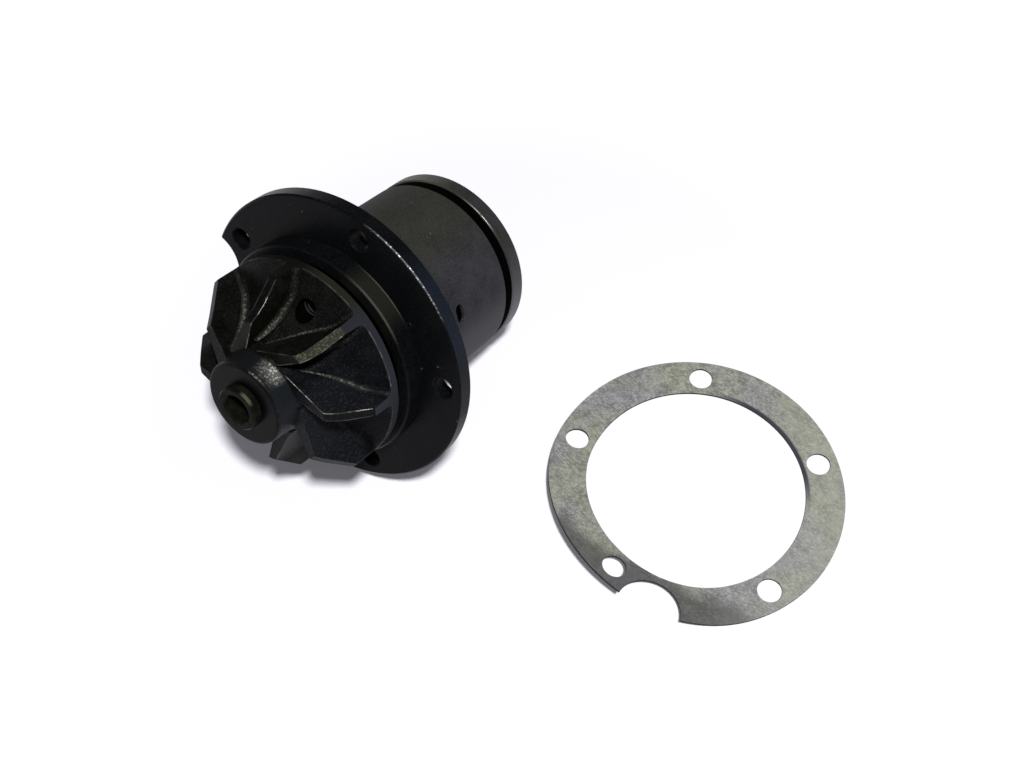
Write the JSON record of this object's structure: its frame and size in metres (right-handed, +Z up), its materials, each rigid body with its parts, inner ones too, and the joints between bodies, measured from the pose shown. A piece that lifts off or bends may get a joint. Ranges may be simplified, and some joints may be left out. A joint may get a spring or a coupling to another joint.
{
  "type": "engine water pump",
  "caption": "Cartridge engine water pump with a swept-vane impeller, round bolt flange and pulley hub, lying beside its flange gasket.",
  "frame": {"origin": "on the surface that the pump and its gasket lie on, under the centre of their common box", "axes": "+Z up; the pump's shaft lies in a plane parallel to YZ, its impeller end towards -Y and tilted up by 18.2 degrees; the gasket lies flat on the +X side"},
  "size_m": [0.2198, 0.1462, 0.1003],
  "materials": {
    "housing_iron": "black phosphated casting, machined flange",
    "impeller_iron": "sand cast with machined rim and vane tips",
    "hub_steel": "turned and blackened",
    "shaft_steel": "ground",
    "bearing_steel": "ground and polished",
    "spring_steel": "oiled",
    "pressed_steel": "zinc plated pressing",
    "cage_polyamide": "moulded",
    "seal_rubber": "moulded",
    "seal_carbon": "lapped carbon",
    "seal_ceramic": "lapped alumina",
    "gasket_fibre": "compressed fibre sheet"
  },
  "bodies": {
    "housing": {"pump_housing": "housing_iron", "front_bearing_outer_ring": "bearing_steel", "rear_bearing_outer_ring": "bearing_steel", "front_bearing_shields": "pressed_steel", "rear_bearing_shields": "pressed_steel", "bearing_circlip": "spring_steel", "seal_cup": "pressed_steel", "seal_bellows": "seal_rubber", "seal_spring": "spring_steel", "seal_drive_band": "pressed_steel", "carbon_face": "seal_carbon"},
    "rotor": {"shaft": "shaft_steel", "impeller": "impeller_iron", "pulley_hub": "hub_steel", "front_bearing_inner_ring": "bearing_steel", "rear_bearing_inner_ring": "bearing_steel", "bearing_spacer": "bearing_steel", "coolant_slinger": "pressed_steel", "seal_seat": "seal_ceramic", "seat_grommet": "seal_rubber"},
    "front_cage": {"front_bearing_cage": "cage_polyamide", "front_bearing_balls": "bearing_steel"},
    "rear_cage": {"rear_bearing_cage": "cage_polyamide", "rear_bearing_rollers": "bearing_steel"},
    "gasket": {"mounting_gasket": "gasket_fibre"}
  },
  "joints": [
    {"name": "rotor_spin", "type": "hinge", "parent": "housing", "child": "rotor", "pos_m": [-0.05833, -0.02806, 0.05108], "axis": [0, -0.9498, 0.3129], "continuous": true},
    {"name": "front_cage_spin", "type": "hinge", "parent": "housing", "child": "front_cage", "pos_m": [-0.05833, -0.01096, 0.04545], "axis": [0, -0.9498, 0.3129], "continuous": true},
    {"name": "rear_cage_spin", "type": "hinge", "parent": "housing", "child": "rear_cage", "pos_m": [-0.05833, 0.01431, 0.03713], "axis": [0, -0.9498, 0.3129], "continuous": true},
    {"name": "gasket_lift", "type": "slide", "parent": "housing", "child": "gasket", "axis": [0, 0, 1], "range_m": [0, 0.06]}
  ],
  "couplings": [
    {"joint": "front_cage_spin", "follows": "rotor_spin", "ratio": 0.36719},
    {"joint": "rear_cage_spin", "follows": "rotor_spin", "ratio": 0.375}
  ]
}
